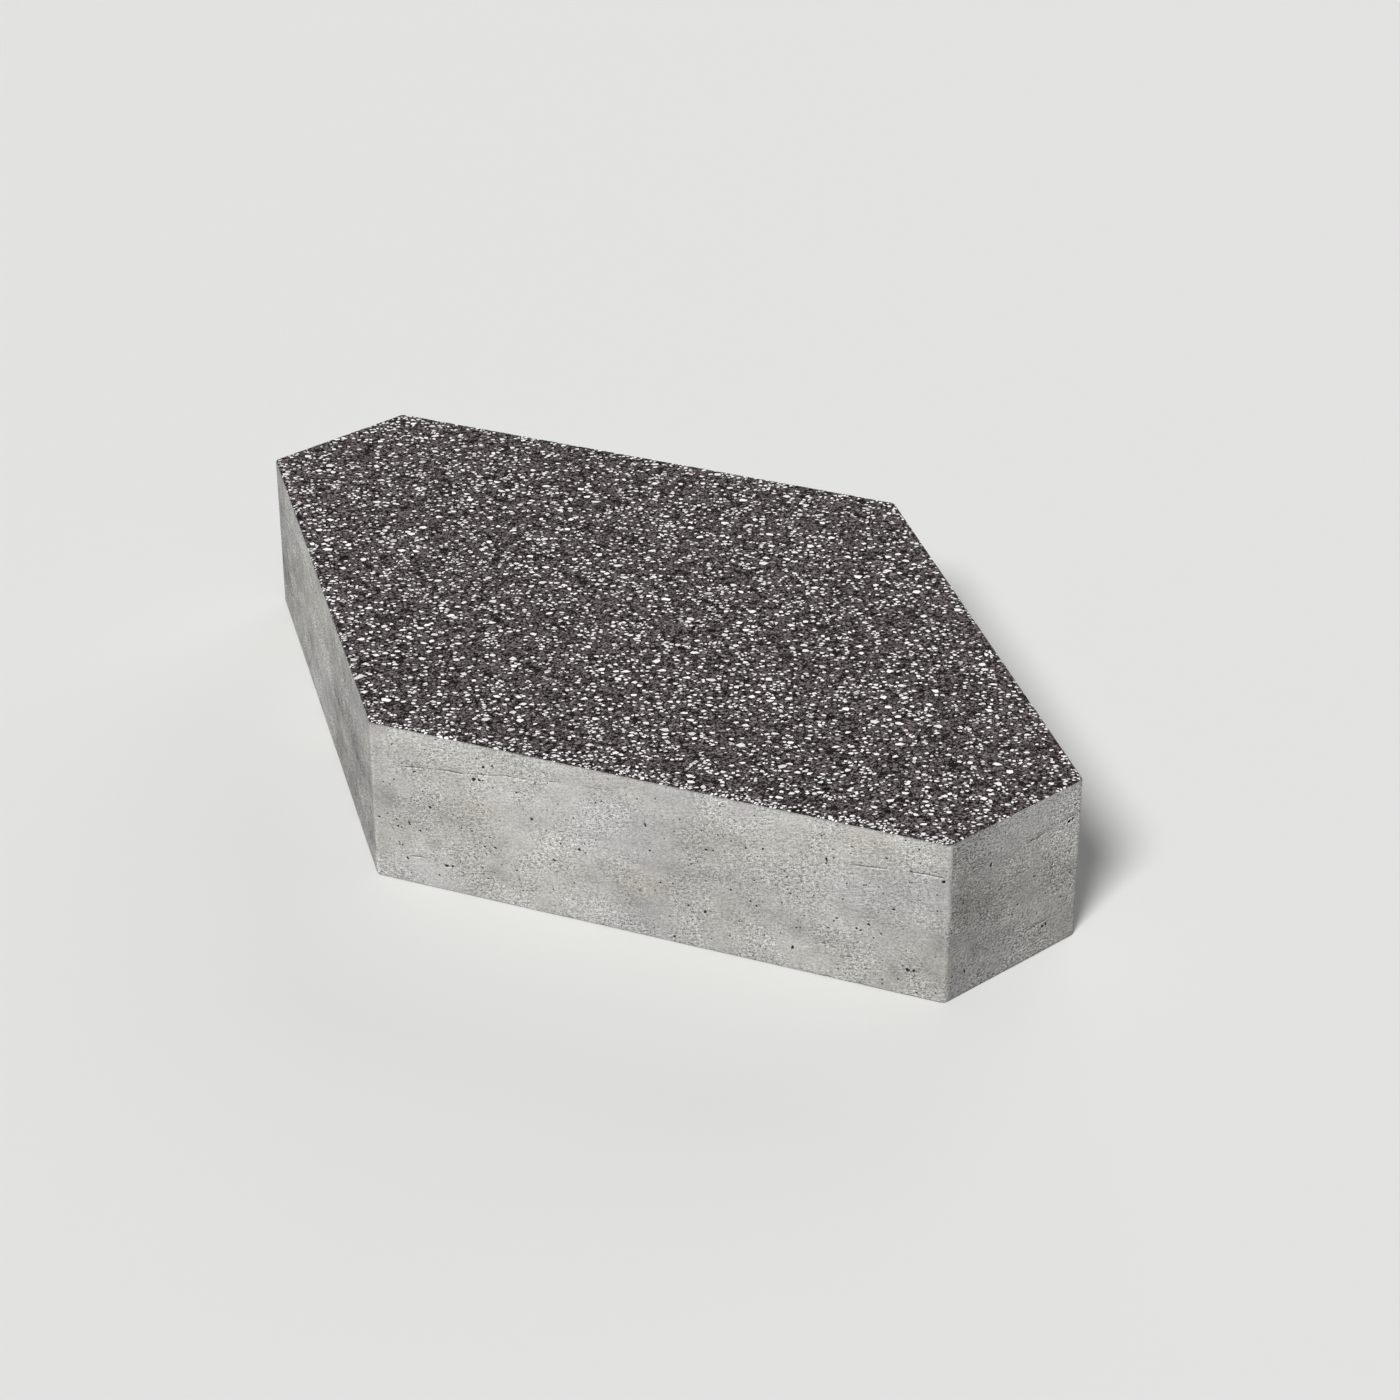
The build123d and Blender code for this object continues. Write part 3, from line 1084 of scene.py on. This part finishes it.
def wall_material(colours, sizes, section):
    """Cement with holes and marks, paler where its arrises are worn, partly as a painted highlight along
    them, and the edge of the dark facing over the arris. A hole is where its number passes a half; inside it
    the colour is painted near black, dust and painted shade. A form mark is a dark line, painted shade in its
    groove, as wide as its strength allows, with a pale lip and a faint haze below it, painted highlight where
    the step catches the light."""
    book = ShadeBook("cast_cement_wall")
    place = book.place()
    vector = book.on_map(WALL_MAP)
    known = (book.number(name) for name in ("light", "blotchy", "grainy"))
    colour, height = cement_shades(book, colours, vector, *known)
    fray = book.noise(vector, "fray") - 0.5
    # Worn arrises are paler: partly real wear, partly a painted highlight along the corners and the base
    # arris.
    worn = (book.number("worn") * (WORN_HIGHLIGHT_LEVEL + fray)).held()
    colour = book.lit(colour, 1 + worn * STRENGTH["worn"])
    # Inside a hole the colour goes near black: dust and painted shade.
    hollow = (book.number("hollow") + fray * HOLE_FRAY).rise("hollow")
    colour = book.mix(hollow * STRENGTH["hollow"], colour, colours.hole)
    # A form mark: a dark line, painted shade in its groove, and below it a pale lip and a faint haze, painted
    # highlight where the step catches the light.
    below = book.number("over_mark") / MM
    strength = book.number("mark")
    width, frays = GROOVE_SHADE_WIDTH
    line = (strength * (width + fray * frays) - abs(below)).rise("line")
    lip_highlight = (strength * (LIP_HIGHLIGHT_WIDTH + fray) - abs(below - LIP_BELOW)).rise("lip_highlight")
    haze_highlight = (strength - abs(below - HAZE_BELOW)).held()
    colour = book.lit(colour, 1 + lip_highlight * STRENGTH["lip_highlight"] + haze_highlight * STRENGTH["haze_highlight"])
    colour = book.mix(line * STRENGTH["line"], colour, colours.hole)
    # The dark facing mix, partly painted shade, covers the arris above its edge.
    dark, grit = facing_shades(book, colours, place)
    up = book.add("ShaderNodeSeparateXYZ", "Z", {}, {"Vector": place})
    ragged = book.noise(place, "ragged") - 0.5
    edge = section.height - section.top * (1 - math.cos(sizes.facing_wrap * math.pi / 2))
    above = (up + ragged * RAGGED_EDGE - edge) / MM
    colour = book.lit(colour, 1 - above.rise("under facing") * STRENGTH["under facing"])
    facing = above.rise("facing")
    colour = book.mix(facing, colour, dark)
    rough = CEMENT_ROUGH + (height - CEMENT_LEVEL) * CEMENT_ROUGH_SWING
    normal = book.bump(height * (1 - facing) + grit * facing, BUMP_DEPTH, BUMP_STRENGTH)
    return book.finish(colour, rough, normal)


def facing_material(colours):
    """The dark mix on the flat of the face, seen between the crumbs; its darkness is partly painted shade."""
    book = ShadeBook("dark_facing_mix_and_shade")
    colour, grit = facing_shades(book, colours, book.place())
    return book.finish(colour, FACING_ROUGH, book.bump(grit, BUMP_DEPTH, BUMP_STRENGTH), FACE_SHINE)


def bed_material(colours):
    """The underside: the same cement, a little darker and rougher."""
    book = ShadeBook("cement_underside")
    colour, height = cement_shades(book, colours, book.place(), 1.0, 1.0, 1.0)
    return book.finish(book.lit(colour, BED_LIGHT), BED_ROUGH, book.bump(height, *BED_BUMP))


def crumb_material(name, low, high, roughness):
    """Broken stone: each crumb has its own shade between low and high, and a finer grain within it."""
    book = ShadeBook(name)
    vector = book.place()
    grain = book.noise(vector, "stone grain") - 0.5
    shade = (book.number("tone") + grain * SWING["stone grain"]).held()
    colour = book.lit(book.mix(shade, low, high), 1 + book.swing(vector, "stone patch"))
    return book.finish(colour, roughness + grain * STONE_ROUGH_SWING, shine=FACE_SHINE)


def dress(piece, *materials):
    """Gives a piece its materials and its place in the frame."""
    for material in materials:
        piece.data.materials.append(material)
    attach(piece, BODY)


def crumb_field(sizes, outline, section):
    """Crumbs of the wearing face as arrays: middle (n, 2), corner offsets (n, K, 2), kind (n) and the random
    source.

    Middles stand on a honeycomb grid, each shifted at random, and each has a weight. A corner lies on a ray
    from the middle, where it meets the first dividing line to a neighbour: with weights a and b and the
    neighbour at v, that line crosses v at the share a / (a + b), so the ray e is cut at
    (a / (a + b)) |v|^2 / (v . e). The crumbs so fill the face like broken stone without overlap. Large crumbs
    push out the neighbours of their grid place.
    """
    rng = np.random.default_rng(sizes.seed + 1)
    pitch = sizes.crumb_pitch
    rows = int(2 * LIE_STRETCH * BLOCK_HIGH.y / (pitch * ROW_STEP)) + 2 * FIELD_PAD
    columns = int(2 * LIE_STRETCH * BLOCK_HIGH.x / pitch) + 2 * FIELD_PAD
    j, i = np.mgrid[:rows, :columns].astype(float)
    across = (i - columns / 2 + 0.5 * (j % 2)) * pitch
    grid = np.stack([across, (j - rows / 2) * pitch * ROW_STEP], -1)
    middle = grid + rng.uniform(-MIDDLE_SHIFT, MIDDLE_SHIFT, grid.shape) * pitch

    around = [(dj, di) for dj in range(-2, 3) for di in range(-2, 3) if (dj, di) != (0, 0)]
    beside = [(dj, di) for dj, di in around if max(abs(dj), abs(di)) == 1]
    score = rng.uniform(size=(rows, columns))
    peak = np.max([np.roll(score, shift, (0, 1)) for shift in around], 0)
    large = (score > LARGE_SCORE) & (score > peak)
    pushed = np.any([np.roll(large, shift, (0, 1)) for shift in beside], 0)

    # The whole field is drawn out along one line and squeezed as much across it.
    line = np.array([math.cos(LIE_ANGLE), math.sin(LIE_ANGLE)])
    draw = np.eye(2) / LIE_STRETCH + (LIE_STRETCH - 1 / LIE_STRETCH) * np.outer(line, line)
    laid = middle @ draw

    # Pale crumbs gather a little, and along the rims; along the right front rim the extra ones paint a
    # highlight on the arris. More of the large ones are pale.
    gather = np.clip(1 + GATHER_SWING * soft_noise(laid, "gather", sizes.seed), *GATHER_LIMITS)
    gather *= np.where(large, LARGE_GATHER, 1)
    for side in range(SIDES):
        within = (outline.corner[side] - laid) @ outline.normal[side]
        rim = RIM_GATHER_AND_HIGHLIGHT.get(side, RIM_ELSEWHERE) * (1 - smooth_step(within, 0, RIM_WIDTH))
        gather *= np.where(large, 1, 1 + rim)
    pale_share = sizes.pale_share * gather
    lot = rng.uniform(size=(rows, columns))
    after_black = pale_share + sizes.black_share
    kind = rng.choice((BROWN, UMBER, DRAB), (rows, columns))
    kind = np.where(lot < after_black + sizes.bare_share, BARE, kind)
    kind = np.where(lot < after_black, BLACK, kind)
    kind = np.where(lot < pale_share, PALE, kind)
    pale = kind == PALE
    weight = np.exp(WEIGHT_SPREAD * rng.normal(size=(rows, columns)))
    weight *= np.where(pale, PALE_WEIGHT, 1) * np.where(kind == BLACK, BLACK_WEIGHT, 1)
    weight *= np.where(large, LARGE_WEIGHT, 1)

    turn = rng.uniform(0, 2 * math.pi, (rows, columns, 1))
    shift = rng.uniform(-CORNER_SHIFT, CORNER_SHIFT, (rows, columns, CORNERS))
    angle = turn + (np.arange(CORNERS) + shift) * 2 * math.pi / CORNERS
    ray = np.stack([np.cos(angle), np.sin(angle)], -1)
    reach = np.full(angle.shape, LONGEST_RAY * pitch)
    for shift in around:
        to = np.roll(middle, shift, (0, 1)) - middle
        share = weight / (weight + np.roll(weight, shift, (0, 1)))
        facing = np.einsum("jic,jikc->jik", to, ray)
        cut = (share * (to * to).sum(-1))[..., None] / np.maximum(facing, TINY)
        there = ~np.roll(pushed, shift, (0, 1))[..., None]
        reach = np.where((facing > 0) & there, np.minimum(reach, cut), reach)
    reach = np.minimum(reach, LONGEST_CORNER * reach.mean(-1, keepdims=True))
    # Some crumbs are slim shards: corners off their long axis are pulled in.
    axis = rng.normal(LIE_ANGLE, LIE_SPREAD, (rows, columns, 1))
    slim = rng.uniform(0, 1, (rows, columns, 1))
    slim = np.where(pale[..., None], PALE_SLIM * slim, OTHER_SLIM * slim**2)
    fill = np.where(pale, PALE_FILL, OTHER_FILL)[..., None]
    reach = reach * (1 - slim * np.sin(angle - axis) ** 2) * fill - CRUMB_GAP

    out = outline.nearest(laid)[2]
    wrapped = WRAP_SHARE * sizes.facing_wrap * section.over_top
    kept = (out - (section.corner - section.top) < wrapped) & ~pushed
    return laid[kept], (ray * reach[..., None])[kept] @ draw, kind[kept], rng


def onto_face(outline, section, sizes, xy, height):
    """Points of the plan laid on the wearing face, height above it along its normal. Past the flat, the
    distance e out becomes a way round the arris: the normal turns by e / radius, as far as the facing
    goes."""
    foot, away, out = outline.nearest(xy)
    flat = section.corner - section.top
    over = np.clip((out - flat) / section.top, 0, sizes.facing_wrap * math.pi / 2)
    reach = np.minimum(out, flat) + (section.top + height) * np.sin(over)
    level = section.height - section.top + (section.top + height) * np.cos(over)
    return np.concatenate([foot + away * reach[..., None], level[..., None]], -1)


def crumb_mesh(name, outline, section, sizes, middle, offsets, rng, rings, tones):
    """Joined closed crumbs, with shades drawn from the beta spread that tones gives. Each is a stack of rings
    of the same corners: a tilted top, a shoulder where rings has one, and a wider foot sunk in the mix. The
    top's height is h - tilt . offset, held under the face's level."""
    n, k = offsets.shape[:2]
    spread = np.linalg.norm(offsets, axis=-1).mean(-1)
    tilt = rng.normal(0, CRUMB_TILT, (n, 1, 2)) * np.minimum(1, TILT_SIZE / spread)[:, None, None]
    level = -np.abs(rng.normal(*CRUMB_SINK, (n, 1)))
    layers = []
    for scale, drop in rings:
        lean = (tilt * offsets * scale).sum(-1)
        height = np.minimum(level + drop + lean, 0)
        layers.append(onto_face(outline, section, sizes, middle[:, None] + offsets * scale, height))
    foot = np.full((n, k), -sizes.facing_recess - CRUMB_FOOT)
    layers.append(onto_face(outline, section, sizes, middle[:, None] + offsets, foot))
    points = np.concatenate(layers, 1)
    size = k * len(layers)

    ring = np.arange(k)
    following = np.roll(ring, -1)
    bands = []
    for number in range(len(layers) - 1):
        upper, lower = number * k, (number + 1) * k
        bands.append(np.stack([upper + ring, lower + ring, lower + following, upper + following], -1))
    base = (len(layers) - 1) * k + ring[::-1]
    one = np.concatenate([ring, *(band.ravel() for band in bands), base])
    one_counts = np.concatenate([[k], np.full(k * len(bands), 4), [k]])
    corners = (one + np.arange(n)[:, None] * size).ravel()
    counts = np.tile(one_counts, n)

    # Each crumb has a square of its own on the bake map, where it is drawn from above.
    per_row = math.ceil(math.sqrt(n))
    cell = np.stack([np.arange(n) % per_row, np.arange(n) // per_row], -1) + 0.5
    scales = np.concatenate([np.full(k, scale) for scale in np.linspace(*BAKE_RINGS, len(layers))])
    drawn = np.concatenate([offsets] * len(layers), 1)
    widest = np.linalg.norm(offsets, axis=-1).max(-1)[:, None, None]
    drawn = drawn / widest * scales[None, :, None] * BAKE_FILL
    maps = {BAKE_MAP: ((cell[:, None] + drawn) / per_row)[:, one].reshape(-1, 2)}
    values = {"tone": np.repeat(rng.beta(*tones, n), size)}
    return build_mesh(name, points.reshape(-1, 3), corners, counts, False, None, maps, values)


class PAVER_OT_stage(bpy.types.Operator):
    """Lay the floor, hang the lights and set the camera"""

    bl_idname = "paver.stage"
    bl_label = "Stage"

    def execute(self, context):
        floor_piece(context.scene.paver_colours)
        soft_lights()
        photo_camera()
        context.scene.view_settings.view_transform = "Standard"
        return {"FINISHED"}


class PAVER_OT_block(bpy.types.Operator):
    """Cast the block: its closed skin with air holes, form marks and worn arrises"""

    bl_idname = "paver.block"
    bl_label = "Cast block"

    def execute(self, context):
        sizes, colours = context.scene.paver_sizes, context.scene.paver_colours
        block = block_mesh(sizes)
        wall = wall_material(colours, sizes, Section(sizes))
        dress(block, wall, facing_material(colours), bed_material(colours))
        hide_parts("paver")
        return {"FINISHED"}


class PAVER_OT_crumbs(bpy.types.Operator):
    """Set the stone crumbs in the wearing face"""

    bl_idname = "paver.crumbs"
    bl_label = "Stone crumbs"

    def execute(self, context):
        sizes, colours = context.scene.paver_sizes, context.scene.paver_colours
        outline, section = Outline(sizes), Section(sizes)
        middle, offsets, kind, rng = crumb_field(sizes, outline, section)
        for name, (which, colour, roughness, shoulder, tones) in CRUMB_PIECES.items():
            here = kind == which
            rings = SHOULDER_RINGS if shoulder else PLAIN_RINGS
            chips = (middle[here], offsets[here], rng, rings, tones)
            piece = crumb_mesh(name, outline, section, sizes, *chips)
            low, high = (getattr(colours, f"{colour}_{end}") for end in ("low", "high"))
            dress(piece, crumb_material(name + "_stone", low, high, roughness))
        return {"FINISHED"}


def floor_piece(colours):
    """A plain pale floor: a square sheet, pale to the camera and darker to the light that it throws back."""
    corner = np.array([(-1, -1, 0), (1, -1, 0), (1, 1, 0), (-1, 1, 0)]) * FLOOR_REACH
    floor = build_mesh("floor", corner, np.arange(4), np.array([4]), False)
    book = ShadeBook("pale_floor")
    seen = book.add("ShaderNodeLightPath", "Is Camera Ray")
    colour = book.mix(seen, (FLOOR_BOUNCE,) * 3, colours.floor)
    floor.data.materials.append(book.finish(colour, FLOOR_ROUGH))


def sight_line(azimuth, elevation):
    """Unit vector to a viewer or lamp at an azimuth and elevation in degrees."""
    azimuth, elevation = math.radians(azimuth), math.radians(elevation)
    level = math.cos(elevation)
    return Vector((math.sin(azimuth) * level, -math.cos(azimuth) * level, math.sin(elevation)))


def sun_lamp(name, azimuth, elevation, strength, spread):
    """A lamp whose light comes from one direction, softened by its spread in degrees."""
    light = bpy.data.lights.new(name, "SUN")
    light.energy = strength
    light.angle = math.radians(spread)
    lamp = bpy.data.objects.new(name, light)
    lamp.rotation_euler = sight_line(azimuth, elevation).to_track_quat("Z", "Y").to_euler()
    bpy.context.scene.collection.objects.link(lamp)


def soft_lights():
    """A broad key lamp from the front, a weak low one from behind, and even light from all round."""
    sun_lamp("key_light", KEY_AZIMUTH, KEY_ELEVATION, KEY_STRENGTH, KEY_SPREAD)
    sun_lamp("fill_light", KEY_AZIMUTH + 180, FILL_ELEVATION, FILL_STRENGTH, FILL_SPREAD)
    world = bpy.data.worlds.new("soft_room")
    world.use_nodes = True
    tree = world.node_tree
    tree.nodes.clear()
    back = tree.nodes.new("ShaderNodeBackground")
    out = tree.nodes.new("ShaderNodeOutputWorld")
    path = tree.nodes.new("ShaderNodeLightPath")
    level = tree.nodes.new("ShaderNodeMapRange")
    level.inputs["To Min"].default_value = ROOM_LIGHT
    level.inputs["To Max"].default_value = ROOM_SEEN
    tree.links.new(path.outputs["Is Camera Ray"], level.inputs["Value"])
    tree.links.new(level.outputs["Result"], back.inputs["Strength"])
    tree.links.new(back.outputs["Background"], out.inputs["Surface"])
    bpy.context.scene.world = world


def photo_camera():
    """A camera where the photograph was taken from, looking back along its azimuth and elevation."""
    back = sight_line(CAMERA_AZIMUTH, CAMERA_ELEVATION)
    azimuth = math.radians(CAMERA_AZIMUTH)
    right = Vector((math.cos(azimuth), math.sin(azimuth), 0))
    up = back.cross(right)
    turn = Matrix((right, up, back)).transposed() @ Matrix.Rotation(math.radians(CAMERA_ROLL), 3, "Z")
    data = bpy.data.cameras.new("photo_camera")
    data.sensor_width = SENSOR_WIDTH
    data.lens = FOCAL_PIXELS * SENSOR_WIDTH / PHOTO_WIDTH
    camera = bpy.data.objects.new("photo_camera", data)
    camera.matrix_world = Matrix.Translation(CAMERA_PLACE) @ turn.to_4x4()
    bpy.context.scene.collection.objects.link(camera)
    bpy.context.scene.camera = camera


class PAVER_PT_panel(bpy.types.Panel):
    """The paver's sizes, colours and steps"""

    bl_idname = "PAVER_PT_panel"
    bl_label = "Concrete paver"
    bl_space_type = "VIEW_3D"
    bl_region_type = "UI"
    bl_category = "Paver"

    def draw(self, context):
        for settings in (context.scene.paver_sizes, context.scene.paver_colours):
            box = self.layout.box()
            for name in type(settings).__annotations__:
                box.prop(settings, name)
        for operator in OPERATORS:
            self.layout.operator(operator.bl_idname)


OPERATORS = (PAVER_OT_stage, PAVER_OT_block, PAVER_OT_crumbs)
CLASSES = (PaverSizes, PaverColours, *OPERATORS, PAVER_PT_panel)


def register():
    for each in CLASSES:
        bpy.utils.register_class(each)
    bpy.types.Scene.paver_sizes = PointerProperty(type=PaverSizes)
    bpy.types.Scene.paver_colours = PointerProperty(type=PaverColours)


def unregister():
    del bpy.types.Scene.paver_colours
    del bpy.types.Scene.paver_sizes
    for each in reversed(CLASSES):
        bpy.utils.unregister_class(each)


def main():
    register()
    bpy.ops.paver.stage()
    bpy.ops.paver.block()
    bpy.ops.paver.crumbs()


if __name__ == "__main__":
    main()
